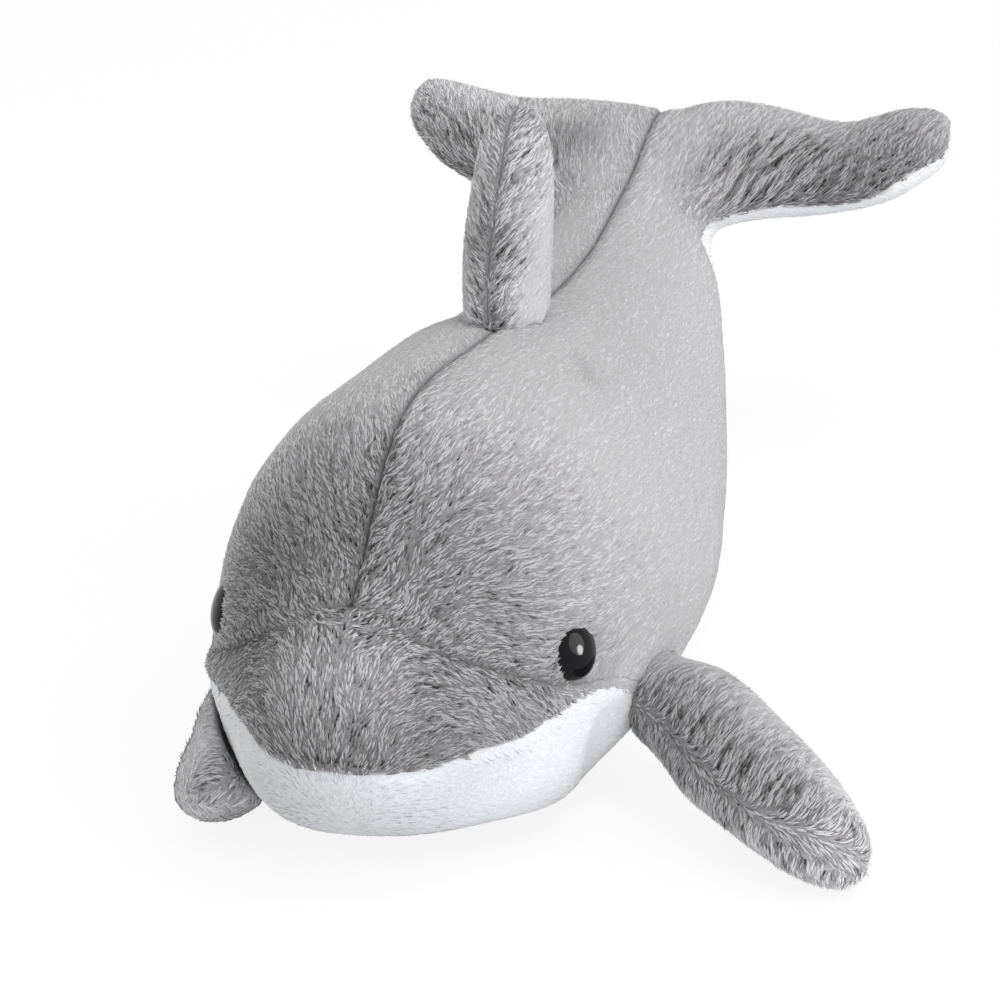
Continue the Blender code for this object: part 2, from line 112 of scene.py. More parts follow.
def placed(mesh, name):
    item = bpy.data.objects.new(name, mesh)
    workCollection.objects.link(item)
    return item


def finishedMesh(item, name):  # the mesh with its modifiers applied, without its object
    depsgraph = bpy.context.evaluated_depsgraph_get()
    mesh = bpy.data.meshes.new_from_object(item.evaluated_get(depsgraph))
    mesh.name = name
    bpy.data.objects.remove(item, do_unlink=True)
    return mesh


def setField(mesh, name, values):
    kind, key = ("FLOAT", "value") if values.ndim == 1 else ("FLOAT_VECTOR", "vector")
    field = mesh.attributes.new(name, kind, "POINT")
    field.data.foreach_set(key, values.astype(np.float32).ravel())


def vertexArray(mesh, key="co"):
    values = np.empty(len(mesh.vertices) * 3, dtype=np.float32)
    if key == "co":
        mesh.vertices.foreach_get("co", values)
    else:
        mesh.vertex_normals.foreach_get("vector", values)
    return values.reshape(-1, 3).astype(float)


def moveTo(mesh, points):
    mesh.vertices.foreach_set("co", points.astype(np.float32).ravel())


def unit(vectors):
    length = np.linalg.norm(vectors, axis=1, keepdims=True)
    return vectors / np.maximum(length, 1e-9)


def mergedCopy(names):
    bm = bmesh.new()
    for name in names:
        bm.from_mesh(nodes[name].data)
    bmesh.ops.remove_doubles(bm, verts=bm.verts, dist=same)
    return bm


def reachTo(points, names):  # distance to the named solids and the nearest place on them
    bm = mergedCopy(names)
    tree = BVHTree.FromBMesh(bm)
    bm.free()
    distance = np.empty(len(points))
    nearest = np.empty((len(points), 3))
    for i, point in enumerate(points):
        place, _, _, gap = tree.find_nearest(Vector(point))
        distance[i] = gap
        nearest[i] = place
    return distance, nearest


# Materials

# Pile colours paint each fibre darker at its root, for the shade among the tufts, and lighter at its
# tip, where light falls on it
grey = {
    "tint": (1.0, 0.985, 1.008),
    "paintedRootShade": 0.42,
    "paintedTipLight": 1.10,
    "rise": 0.7,  # below 1 the fibres are painted light almost down to the root
    "roughness": 0.85,
    "sheen": 0.25,
    "sheenRoughness": 0.4,
    "gloss": 0.12,
}
white = {
    "tint": (0.955, 0.985, 1.02),
    "paintedRootShade": 0.90,
    "paintedTipLight": 1.02,
    "rise": 0.7,
    "roughness": 0.85,
    "sheen": 0.15,
    "sheenRoughness": 0.4,
    "gloss": 0.12,
}
backing = {
    # painted shade: how dark the backing is painted where it lies deep among ruffled tufts
    "shade": 0.62,
    "grain": 1400.0,
    "fleck": 0.35,
    "bump": 0.5,
    "bumpHeight": 0.4 * mm,
    "gloss": 0.1,
}
eyePlastic = {
    "colour": (0.004, 0.004, 0.005),
    "roughness": 0.05,
    "haze": 0.05,  # how much rougher the cloudy patches are
    "grain": 180.0,
    "gloss": 0.15,
}
washerPlastic = {
    "colour": (0.82, 0.82, 0.79),
    "roughness": 0.45,
    "grain": 900.0,
    "shade": 0.94,
    "fleck": 0.1,
}


def newMaterial(name):
    material = bpy.data.materials.new(name)
    material.use_nodes = True
    tree = material.node_tree
    shader = tree.nodes["Principled BSDF"]
    return material, Wire(tree), shader


def field(wire, name, output=2):
    return wire.add("ShaderNodeAttribute", {"attribute_name": name}, None, output)


def tinted(wire, shade, tint):  # a shade made a colour
    return wire.add("ShaderNodeVectorMath", {"operation": "SCALE"}, {0: tint, "Scale": shade})


def pileMaterial(name, look):
    material, wire, shader = newMaterial(name)
    along = field(wire, "along")
    depth = field(wire, "depth")
    strand = field(wire, "strand")
    # painted shade and light: each fibre is darker at the root and lighter at the tip, as strongly as
    # its depth says
    rise = along.math("POWER", along, look["rise"])
    paintedFibreShade = look["paintedRootShade"] + (look["paintedTipLight"] - look["paintedRootShade"]) * rise
    shade = strand * (1.0 + depth * (paintedFibreShade - 1.0))
    colour = tinted(wire, shade, look["tint"])
    wire.tree.links.new(colour.socket, shader.inputs["Base Color"])
    shader.inputs["Roughness"].default_value = look["roughness"]
    shader.inputs["Sheen Weight"].default_value = look["sheen"]
    shader.inputs["Sheen Roughness"].default_value = look["sheenRoughness"]
    shader.inputs["Specular IOR Level"].default_value = look["gloss"]
    return material


def backingMaterial(name, look):
    material, wire, shader = newMaterial(name)
    where = wire.add("ShaderNodeTexCoord", None, None, 3)
    fleck = wire.add("ShaderNodeTexNoise", None,
                     {"Vector": where, "Scale": backing["grain"], "Detail": 2.0})
    tone = field(wire, "tone")
    depth = field(wire, "depth")
    # painted shade: the backing is painted darker where the pile is ruffled, for the shade among the
    # tufts
    low = 1.0 - depth * (1.0 - backing["shade"])
    shade = tone * low * (1.0 - backing["fleck"] * 0.5 + fleck * backing["fleck"])
    wire.tree.links.new(tinted(wire, shade, look["tint"]).socket, shader.inputs["Base Color"])
    bump = wire.add("ShaderNodeBump", None,
                    {"Height": fleck, "Strength": backing["bump"],
                     "Distance": backing["bumpHeight"]})
    wire.tree.links.new(bump.socket, shader.inputs["Normal"])
    shader.inputs["Roughness"].default_value = look["roughness"]
    shader.inputs["Specular IOR Level"].default_value = backing["gloss"]
    return material


def eyeMaterial():
    material, wire, shader = newMaterial("glossy_eye")
    where = wire.add("ShaderNodeTexCoord", None, None, 3)
    haze = wire.add("ShaderNodeTexNoise", None,
                    {"Vector": where, "Scale": eyePlastic["grain"], "Detail": 3.0})
    shader.inputs["Base Color"].default_value = (*eyePlastic["colour"], 1.0)
    rough = eyePlastic["roughness"] + eyePlastic["haze"] * haze
    wire.tree.links.new(rough.socket, shader.inputs["Roughness"])
    shader.inputs["Specular IOR Level"].default_value = eyePlastic["gloss"]
    return material


def washerMaterial():
    material, wire, shader = newMaterial("moulded_washer")
    where = wire.add("ShaderNodeTexCoord", None, None, 3)
    grain = wire.add("ShaderNodeTexNoise", None,
                     {"Vector": where, "Scale": washerPlastic["grain"], "Detail": 2.0})
    shade = washerPlastic["shade"] + washerPlastic["fleck"] * grain
    colour = tinted(wire, shade, washerPlastic["colour"])
    wire.tree.links.new(colour.socket, shader.inputs["Base Color"])
    shader.inputs["Roughness"].default_value = washerPlastic["roughness"]
    return material


# The stuffed forms, each fused from its panels and what they hold

cover = {
    "voxel": 1.9 * mm,
    "relaxing": 8,
    "ease": 0.5,
    "seamBand": 2.6 * mm,  # cloth this near a seam is divided finer
    "splitWithin": (0.05, 0.95),  # an edge is split no nearer to its ends, as shares of it
    "lie": 0.3,  # how deep the backing lies, as a share of the length of the pile
    "thickness": 0.7 * mm,
    "smoothPaintedShade": 0.1,  # how strongly smooth pile takes the painted shade at its roots and on the backing, of the strongest
    "smoothCrowd": 0.6,  # how thick smooth pile stands, of the thickest
}
forms = {
    "body": {
        "panels": ["back_panel_left", "back_panel_right", "snout_panel", "belly_panel"],
        "inside": ["body_filling", "eye_washer_left", "eye_washer_right"],
    },
    "dorsal_fin": {
        "panels": ["dorsal_fin_left", "dorsal_fin_right"],
        "inside": ["dorsal_fin_filling"],
    },
    "flipper_left": {
        "panels": ["flipper_left_upper", "flipper_left_lower"],
        "inside": ["flipper_left_filling"],
    },
    "flipper_right": {
        "panels": ["flipper_right_upper", "flipper_right_lower"],
        "inside": ["flipper_right_filling"],
    },
}


def fusedForm(name, form):
    bm = mergedCopy(form["panels"] + form["inside"])
    item = placed(meshFrom(bm, name), name + "_fused")
    fuse = item.modifiers.new("fuse", "REMESH")
    fuse.mode = "VOXEL"
    fuse.voxel_size = cover["voxel"]
    relax = item.modifiers.new("relax", "SMOOTH")
    relax.factor = cover["ease"]
    relax.iterations = cover["relaxing"]
    mesh = finishedMesh(item, name)
    bm = bmesh.new()  # sealed pockets left inside are dropped
    bm.from_mesh(mesh)
    islands = []
    left = set(bm.verts)
    while left:
        stack = [left.pop()]
        island = set(stack)
        while stack:
            for edge in stack.pop().link_edges:
                for vert in edge.verts:
                    if vert in left:
                        left.discard(vert)
                        island.add(vert)
                        stack.append(vert)
        islands.append(island)
    islands.sort(key=len)
    for island in islands[:-1]:
        bmesh.ops.delete(bm, geom=list(island), context="VERTS")
    bm.to_mesh(mesh)
    bm.free()
    return mesh


# Where the pile lies and how light it is. Each stroke of the brush has a place, given as
# side, station from the nose and height in millimetres, the way it combs the pile there,
# the tone, how ruffled the pile is, the length of the pile and how far the stroke reaches.

restStation = 90  # the station of the origin, which lies under the middle of the belly
brushStrokes = {
    "body": [
        # snout
        ((0, 3, 38), (0, 0.3, 1), 0.29, 0.95, 2.2, 6),
        ((0, 10, 50), (0, 0.8, 0.7), 0.45, 0.65, 2.2, 9),
        ((0, 17, 57), (0, 1, 0.4), 0.44, 0.8, 2.0, 8),
        ((16, 8, 42), (0.6, 0.4, 0.2), 0.25, 0.85, 2.2, 8),
        ((31, 24, 38), (0.7, 0.3, -0.5), 0.34, 0.7, 2.0, 9),
        ((24, 18, 48), (0.8, 0.3, -0.4), 0.34, 0.75, 2.2, 9),
        # forehead
        ((6, 24, 64), (0.5, 0.8, 0.6), 0.26, 1.0, 2.2, 9),
        ((7, 40, 80), (0.5, 0.8, 0.4), 0.30, 1.0, 2.3, 9),
        ((19, 30, 62), (0.6, 0.7, 0.2), 0.27, 0.95, 2.2, 11),
        ((24, 46, 72), (0.5, 0.9, 0.1), 0.36, 0.6, 2.2, 12),
        ((32, 32, 50), (0.6, 0.3, -0.6), 0.31, 0.65, 2.2, 9),
        ((40, 50, 52), (0.4, 0.9, -0.1), 0.40, 0.35, 2.0, 12),
        ((46, 60, 35), (0.2, 1, 0), 0.42, 0.2, 2.0, 14),
        # back and flanks
        ((0, 62, 88), (0.2, 1, 0), 0.43, 0.4, 2.2, 12),
        ((16, 75, 86), (0.1, 1, 0), 0.43, 0.14, 2.0, 20),
        ((42, 90, 60), (0, 1, 0), 0.43, 0.12, 2.0, 22),
        ((0, 110, 82), (0, 1, 0), 0.43, 0.12, 2.0, 20),
        ((30, 130, 66), (0, 1, 0), 0.42, 0.14, 2.0, 22),
        ((44, 120, 35), (0, 1, 0), 0.44, 0.12, 2.0, 20),
        ((12, 175, 72), (0, 1, 0.1), 0.43, 0.12, 2.0, 20),
        ((24, 180, 55), (0, 1, 0.1), 0.45, 0.12, 2.0, 16),
        ((18, 216, 76), (0.6, 0.5, 0), 0.46, 0.8, 2.2, 3.5),
        ((0, 220, 84), (0, 1, 0.3), 0.46, 0.2, 2.2, 12),
        # flukes
        ((27, 223, 79), (0.4, 0.8, 0.4), 0.33, 0.9, 3.4, 8),
        ((38, 232, 82), (0.5, 0.8, 0.2), 0.31, 1.0, 3.6, 8),
        ((50, 230, 78), (0.4, 0.8, 0.4), 0.25, 0.95, 2.4, 8),
        ((62, 236, 80), (0.5, 0.8, 0.3), 0.27, 0.9, 2.2, 8),
        ((24, 246, 87), (0.1, 1, 0.2), 0.45, 0.3, 2.2, 9),
        ((46, 248, 87), (0.3, 0.9, 0.2), 0.45, 0.3, 2.2, 9),
        ((70, 250, 86), (0.6, 0.7, 0.2), 0.38, 0.4, 2.2, 7),
    ],
    "dorsal_fin": [
        ((1, 112, 84), (0.5, 0.6, 0.7), 0.44, 0.9, 2.4, 4),
        ((1, 119, 98), (0.6, 0.6, 0.5), 0.42, 1.0, 3.0, 4.5),
        ((1, 128, 112), (0.5, 0.6, 0.6), 0.42, 1.0, 3.0, 5),
        ((0, 138, 120), (0.4, 0.6, 0.7), 0.44, 0.8, 2.6, 5),
        ((8, 124, 82), (0.1, 1, 0.6), 0.54, 0.15, 1.8, 6),
        ((9, 128, 98), (0.1, 1, 0.6), 0.54, 0.15, 1.8, 7),
        ((8, 135, 112), (0.1, 1, 0.4), 0.52, 0.2, 1.8, 7),
    ],
    "flipper_left": [
        # along the seam
        ((54, 55, 28), (0.2, 0.45, 0.7), 0.30, 1.0, 2.6, 4),
        ((60, 50, 27), (0.2, 0.45, 0.7), 0.28, 1.0, 2.8, 4),
        ((67, 45, 25), (0.2, 0.45, 0.7), 0.28, 1.0, 3.0, 4),
        ((74, 39, 21), (0.2, 0.45, 0.7), 0.29, 1.0, 3.0, 4),
        ((81, 35, 19), (0.2, 0.45, 0.7), 0.31, 1.0, 3.0, 4),
        ((88, 33, 17), (0.2, 0.45, 0.7), 0.36, 1.0, 2.8, 4),
        ((97, 32, 14), (0.3, 0.45, 0.6), 0.42, 0.9, 2.6, 4),
        # upper panel
        ((64, 54, 29), (0.2, 0.45, 0.7), 0.35, 0.7, 2.6, 5),
        ((80, 44, 24), (0.2, 0.45, 0.7), 0.35, 0.7, 2.6, 5),
        ((60, 64, 29), (0.5, 0.5, 0.3), 0.42, 0.12, 1.8, 7),
        ((74, 56, 27), (0.5, 0.5, 0.3), 0.43, 0.10, 1.8, 7),
        ((88, 50, 21), (0.5, 0.5, 0.3), 0.50, 0.10, 1.8, 7),
        ((99, 42, 14), (0.7, 0.3, 0.1), 0.56, 0.15, 1.8, 7),
        # lower panel
        ((52, 53, 20), (0.0, -0.4, -0.7), 0.34, 1.0, 2.6, 4),
        ((58, 48, 18), (0.0, -0.4, -0.7), 0.34, 1.0, 2.8, 4),
        ((65, 42, 15), (0.0, -0.4, -0.7), 0.38, 1.0, 3.0, 4),
        ((72, 36, 12), (0.0, -0.4, -0.7), 0.44, 1.0, 3.0, 4),
        ((80, 31, 11), (0.0, -0.4, -0.7), 0.50, 1.0, 3.0, 4),
        ((88, 27, 10), (0.0, -0.4, -0.7), 0.56, 1.0, 3.0, 4),
        ((95, 27, 8), (0.1, -0.4, -0.7), 0.60, 0.9, 2.8, 4),
        # painted light: the smooth lower edge faces down into shade and is painted lighter
        ((52, 53, 10), (0.0, -0.3, -0.7), 0.66, 0.15, 1.6, 4),
        ((64, 42, 8), (0.0, -0.3, -0.7), 0.72, 0.15, 1.6, 4),
        ((77, 32, 6), (0.1, -0.3, -0.7), 0.76, 0.2, 1.8, 4),
        ((92, 27, 4), (0.1, -0.3, -0.7), 0.72, 0.2, 1.8, 4),
    ],
    "flipper_right": [
        # painted light: this flipper lies on the shaded side, and its tones are painted lighter
        ((-33, 19, 18), (-0.2, -0.6, 0.4), 0.34, 0.9, 2.6, 4),
        ((-44, 30, 20), (-0.3, -0.2, 0.5), 0.54, 0.12, 1.7, 9),
        ((-42, 18, 11), (-0.3, -0.5, -0.1), 0.50, 0.15, 1.7, 6),
        ((-28, 16, 10), (0.3, -0.5, -0.2), 0.48, 0.4, 2.0, 5),
        ((-70, 34, 18), (-0.4, 0.4, 0.3), 0.40, 0.5, 2.2, 12),
    ],
}

# Painted shade and light: patches painted darker where shade falls (the far side of the head, snout
# and fin, under the jaw, a dent in the back, behind the fin), and patches painted lighter on the jaw
# beside the flipper, where shade falls, and on the far fluke: place, factor and reach

paintedShadeAndLight = {
    "body": [
        ((-25, 34, 60), 0.58, 12),
        ((-14, 50, 79), 0.86, 7),
        ((-26, 20, 46), 0.76, 8),
        ((-13, 5, 22), 0.72, 12),
        ((12, 10, 12), 0.90, 10),
        ((22, 12, 29), 0.88, 6),
        ((28, 19, 27), 0.92, 5),
        ((43, 46, 38), 0.84, 5),
        ((47, 52, 22), 1.42, 9),
        ((30, 20, 12), 1.08, 12),
        ((21, 113, 77), 0.86, 2.0),
        ((23, 109, 76), 0.82, 2.0),
        ((25, 105, 75), 0.86, 2.0),
        ((-60, 240, 84), 1.42, 16),
        ((-17, 231, 84), 0.66, 7),
    ],
    "dorsal_fin": [((-7, 124, 98), 0.8, 9)],
}

# Where a seam is hidden in the pile: place and reach

hiddenSeams = [((47, 56, 33), 10), ((-47, 56, 33), 10)]
whitePile = {"tone": 0.68, "ruffle": 0.03, "pile": 2.2 * mm}

# How the pile parts at a seam

parting = {
    "reach": 5.0 * mm,  # as far as this the pile turns away and is ruffled
    "turn": 1.6,
    "rough": 0.6,
    "mostRuffled": 1.1,
    "line": 0.8 * mm,  # how wide the painted shade along the stitches' groove is; the next sets how dark
    "shade": 0.6,
    "bare": (0.1, 0.45),  # bare up to the first distance in millimetres, full from the second
}

# Small moves of the stuffed cloth: place, shift in millimetres and reach

nudges = {
    "body": [
        # flukes
        ((-62, 244, 82), (1.8, 0, 3.6), 20),
        ((-34, 245, 86), (0, 0, -1.7), 9),
        ((-8, 245, 86), (0, 0, 0.9), 7),
        ((14, 247, 86), (0, 0, 3.0), 12),
        ((42, 246, 87), (0, 0, -3.2), 10),
        ((61, 248, 87), (0, 0, 2.2), 8),
        ((73, 246, 80), (0.6, 0, -0.8), 6),
        ((66, 237, 74), (0.8, -0.8, -0.8), 10),
        ((32, 218, 70), (0, 0, 1.4), 9),
        # back and flanks
        ((-16, 122, 78), (-0.4, 0, 2.3), 13),
        ((-36, 60, 68), (-0.4, 0, 0.3), 16),
        ((48, 125, 40), (2.0, 0, 0), 28),
        ((44, 134, 36), (-1.0, 0, 0), 11),
        ((30, 185, 52), (0.9, 0, 0.3), 18),
        ((24, 202, 62), (1.0, 0, 0.2), 9),
        ((-10, 205, 76), (0, 0, 1.0), 10),
        # head
        ((38, 40, 44), (0.3, -0.2, 0.1), 9),
        ((35, 34, 43), (0.9, -0.6, 0.2), 3.2),
        ((-38, 44, 51), (0.3, 0, 0), 8),
        ((-40, 38, 34), (-2.0, -0.4, 0), 5.5),
        ((-14, 10, 14), (-0.3, -0.6, -1.3), 11),
        ((26, 29, 9), (0.1, 0.2, 0.7), 9),
        ((38, 35, 13), (1.6, -1.0, -1.6), 10),
        ((45, 48, 18), (-3.4, 1.0, 2.2), 6),
        # a dent in the back
        ((22, 111, 76), (-0.2, 0, -0.5), 2.5),
        ((24, 107, 75), (-0.2, 0, -0.5), 2.5),
    ],
    "dorsal_fin": [
        ((-6, 122, 100), (-1.9, 0, 0), 16),
        ((-4, 140, 120), (-1.4, 0, 1.0), 8),
        ((9, 124, 82), (-2.4, 0, 0), 8),
        ((0, 114, 80), (0, 0, -1.6), 8),
        ((0, 130, 76), (0, 0, -1.6), 8),
    ],
    "flipper_left": [
        ((60, 45, 11), (-1.5, -1.6, -0.1), 10),
        ((80, 30, 8), (-0.9, -1.3, -0.6), 13),
        ((62, 62, 28), (0.5, 0.8, 3.0), 9),
        ((78, 52, 25), (0.1, 0.2, 0.7), 11),
        ((97, 42, 15), (-0.5, -0.2, 0), 8),
        ((97, 29, 6), (0.7, -1.0, -2.2), 8),
        ((50, 66, 24), (-5.0, 0, -1.0), 8),
        ((47, 57, 16), (0.3, -0.6, 0.4), 5),
        # the seam slides up over the cloth
        ((57, 51, 19), (0, 0.3, 2.4), 5),
        ((76, 34, 14), (0, 0.3, 1.0), 8),
        ((94, 28, 11), (0, 0.2, 2.0), 7),
    ],
    "flipper_right": [
        ((-28, 15, 12), (0.0, 1.4, 1.2), 9),
        ((-42, 20, 14), (-1.0, -0.3, 0.0), 8),
        ((-43, 35, 21), (0.8, 0.5, -0.8), 8),
        ((-44, 20, 9), (-0.6, 0, -0.6), 7),
        ((-50, 66, 24), (5.0, 0, -1.0), 8),
    ],
}

# Where another cloth reaches further over a panel: place, millimetres and reach

leans = {
    "belly_panel": [
        ((40, 44, 28), -3.0, 9),
        ((21, 12, 33), 2.6, 8),
        ((32, 24, 32), 1.6, 6),
        ((47, 78, 26), 5.0, 14),
        ((46, 226, 72), 1.4, 12),
        ((52, 229, 73), 1.6, 7),
        ((66, 238, 76), -1.6, 9),
        ((44, 120, 26), 6.0, 30),
        ((-44, 100, 26), 6.0, 36),
        ((34, 165, 34), 5.0, 26),
        ((-34, 165, 34), 5.0, 26),
        ((-62, 236, 74), 5.0, 26),
    ],
}


def near(points, spot, reach):  # one at the spot, fading with distance
    place = np.array((spot[0], spot[1] - restStation, spot[2])) * mm
    return np.exp(-np.sum((points - place) ** 2, axis=1) / (2 * (reach * mm) ** 2))


alikeOnBothSides = ("body", "dorsal_fin")  # each stroke there is brushed on the other side too
farthest = 1e-7  # the weight that a stroke keeps out of its reach, so that no place is bare


def groomed(name, points, normals, isWhite):
    combs = np.zeros_like(points)
    total = np.full(len(points), 1e-9)
    sums = {key: np.zeros(len(points)) for key in ("tone", "ruffle", "pile")}
    for (side, station, height), comb, tone, ruffle, pile, reach in brushStrokes[name]:
        for turn in ((1, -1) if name in alikeOnBothSides else (1,)):
            weight = near(points, (turn * side, station, height), reach) + farthest
            combs += weight[:, None] * unit(np.array([(turn * comb[0], comb[1], comb[2])]))
            for key, value in (("tone", tone), ("ruffle", ruffle), ("pile", pile * mm)):
                sums[key] += weight * value
            total += weight
    combs /= total[:, None]
    fields = {key: value / total for key, value in sums.items()}
    for key, value in whitePile.items():
        fields[key][isWhite] = value
    # painted shade and light: the tone is darkened or lightened at the listed patches
    for spot, factor, reach in paintedShadeAndLight.get(name, ()):
        fields["tone"] *= 1.0 + (factor - 1.0) * near(points, spot, reach)
    combs -= np.sum(combs * normals, axis=1, keepdims=True) * normals
    fields["comb"] = unit(combs)
    return fields


# Seams: pairs of panels, how deep the stitches pull the cloth in, how wide the dip is,
# how strongly the pile turns away there and how bare the line of the stitches is, which also sets the
# painted shade along it

seams = {
    "body": [
        ("back_panel_left", "back_panel_right", 0.8, 1.0, 0.5, 0.8),
        ("snout_panel", "back_panel_left", 0.3, 1.1, 0.5, 0.5),
        ("snout_panel", "back_panel_right", 0.3, 1.1, 0.5, 0.5),
        ("belly_panel", "snout_panel", 0.5, 1.4, 0.2, 0.0),
        ("belly_panel", "back_panel_left", 0.5, 1.4, 0.2, 0.0),
        ("belly_panel", "back_panel_right", 0.5, 1.4, 0.2, 0.0),
    ],
    "dorsal_fin": [("dorsal_fin_left", "dorsal_fin_right", 0.5, 0.9, 0.7, 0.3)],
    "flipper_left": [("flipper_left_upper", "flipper_left_lower", 0.35, 0.8, 0.5, 0.1)],
    "flipper_right": [("flipper_right_upper", "flipper_right_lower", 0.35, 0.8, 0.5, 0.1)],
}


def cutAtSeams(bm, layers):
    # an edge that runs from one panel to the next is split on the seam, and the cloth
    # beside the seams is divided once more
    def reaches(vert):
        return [vert[layer] for layer in layers]

    onSeam = []
    for edge in list(bm.edges):
        start, end = (reaches(vert) for vert in edge.verts)
        own, other = start.index(min(start)), end.index(min(end))
        if own != other:
            before, after = start[other] - start[own], end[own] - end[other]
            least, most = cover["splitWithin"]
            share = min(max(before / max(before + after, 1e-12), least), most)
            onSeam.append(bmesh.utils.edge_split(edge, edge.verts[0], share)[1])
    bmesh.ops.connect_verts(bm, verts=onSeam)

    def gap(vert):
        low, high = sorted(reaches(vert))[:2]
        return high - low

    beside = [e for e in bm.edges if min(gap(vert) for vert in e.verts) < cover["seamBand"]]
    bmesh.ops.subdivide_edges(bm, edges=beside, cuts=1, use_grid_fill=True)
    bmesh.ops.triangulate(bm, faces=bm.faces)
    panel = bm.faces.layers.int.new("panel")
    for face in bm.faces:
        sums = [sum(values) for values in zip(*(reaches(vert) for vert in face.verts))]
        face[panel] = sums.index(min(sums))


def dressedForm(name, form):
    mesh = fusedForm(name, form)
    points = vertexArray(mesh)
    bm = bmesh.new()
    bm.from_mesh(mesh)
    layers = [bm.verts.layers.float.new("reach_" + panel) for panel in form["panels"]]
    for panel, layer in zip(form["panels"], layers):
        reach = reachTo(points, [panel])[0]
        for spot, lean, width in leans.get(panel, ()):
            reach += lean * mm * near(points, spot, width)
        for vert, value in zip(bm.verts, reach):
            vert[layer] = value
    cutAtSeams(bm, layers)
    bm.to_mesh(mesh)
    bm.free()
    still = vertexArray(mesh)
    for spot, shift, width in nudges.get(name, ()):
        points = vertexArray(mesh)
        points += near(points, spot, width)[:, None] * np.array(shift) * mm
        moveTo(mesh, points)
    mesh.update()
    points = vertexArray(mesh)
    normals = vertexArray(mesh, "normal")
    table = {}
    for panel in form["panels"]:
        values = np.empty(len(points), dtype=np.float32)
        mesh.attributes["reach_" + panel].data.foreach_get("value", values)
        table[panel] = values.astype(float)
        mesh.attributes.remove(mesh.attributes["reach_" + panel])
    closest = np.min(np.stack(list(table.values())), axis=0)
    isWhite = table.get("belly_panel", closest + 1.0) <= closest
    fields = groomed(name, points, normals, isWhite)
    dip = np.zeros(len(points))
    crowd = np.ones(len(points))
    places = {panel: reachTo(still, [panel])[1] for panel in form["panels"]}
    shown = np.ones(len(points))
    for spot, reach in hiddenSeams:
        shown *= 1.0 - near(points, spot, reach)
    for first, second, deep, wide, part, bare in seams[name]:
        gap = np.abs(table[first] - table[second]) + np.minimum(table[first], table[second]) - closest
        far = np.where((table[first] < table[second])[:, None], places[second], places[first])
        away = still - far
        away -= np.sum(away * normals, axis=1, keepdims=True) * normals
        pull = part * parting["turn"] * np.exp(-gap / parting["reach"])
        rough = shown * parting["rough"] * bare * np.exp(-(gap / parting["reach"]) ** 2)
        fields["ruffle"] = np.minimum(fields["ruffle"] * (1.0 + rough), parting["mostRuffled"])
        fields["comb"] = unit(fields["comb"] + unit(away) * pull[:, None])
        dip = np.maximum(dip, shown * deep * mm * np.exp(-(gap / (wide * mm)) ** 2))
        low, high = parting["bare"]
        grown = np.clip((gap / mm - low) / (high - low), 0.0, 1.0)
        crowd = np.minimum(crowd, 1.0 - shown * bare * (1.0 - grown))
        # painted shade: the cloth along the stitches is painted darker, on top of the real dip, for
        # the shade in the seam's groove
        paintedSeamShade = shown * bare * parting["shade"] * np.exp(-(gap / parting["line"]) ** 2)
        fields["tone"] *= 1.0 - paintedSeamShade
    points -= normals * (cover["lie"] * fields["pile"] + dip)[:, None]
    moveTo(mesh, points)
    for key in ("tone", "ruffle", "pile", "comb"):
        setField(mesh, key, fields[key])
    # depth: how strongly the painted shade at the roots of the tufts and on the backing shows
    setField(mesh, "depth", np.clip(cover["smoothPaintedShade"] + fields["ruffle"], 0.0, 1.0))
    setField(mesh, "crowd", crowd * np.clip(cover["smoothCrowd"] + fields["ruffle"], 0.0, 1.0))
    return mesh


def panelPatch(mesh, number, keep=None):  # the faces of one panel, as a bmesh
    bm = bmesh.new()
    bm.from_mesh(mesh)
    panel = bm.faces.layers.int["panel"]
    others = [face for face in bm.faces
              if face[panel] != number or (keep and not keep(face.calc_center_median()))]
    bmesh.ops.delete(bm, geom=others, context="FACES")
    return bm


def clothPiece(mesh, number, name, material):
    item = placed(meshFrom(panelPatch(mesh, number), name), name)
    shell = item.modifiers.new("cloth", "SOLIDIFY")
    shell.thickness = cover["thickness"]
    shell.offset = -1.0
    done = finishedMesh(item, name)
    done.materials.append(material)
    done.shade_smooth()
    return placed(done, name)


# The pile: small bent tufts of fibre, set close together all over the cloth

tuft = {
    "belly": 0.38,  # where it is widest, as a share of its length
    "bend": 0.06,
    "length": (0.75, 1.2),  # least and most, as shares of what is set for its place
    "width": (0.75, 1.3),
    "shade": (0.1, 1.25),
    "seed": 7,
}

# What ruffling does to the tufts: a value in smooth pile, and what full ruffling adds

ruffling = {
    "stray": (0.015, 0.12),
    "thickness": (0.1, 0.6),  # as a share of the width
    "spread": (0.02, 0.14),  # of the shades of neighbouring tufts
}

# What full ruffling sets by itself

ruffled = {
    "lift": 0.1,
    "calmLost": 0.6,
    "paintedRidgeShade": 1.7,  # painted shade and light: how much darker the gaps and lighter the ridges are painted
    "ridgeHeight": 0.4,  # in millimetres, as the next
    "rootHeight": -0.02,  # of every tuft
    "curl": 3.0,
    "curlLost": 2.2,  # in coarse ridges
    "curlGrain": 190.0,
}

# Ridges in the pile: how wide they are, and how far apart the noise is read along the nap

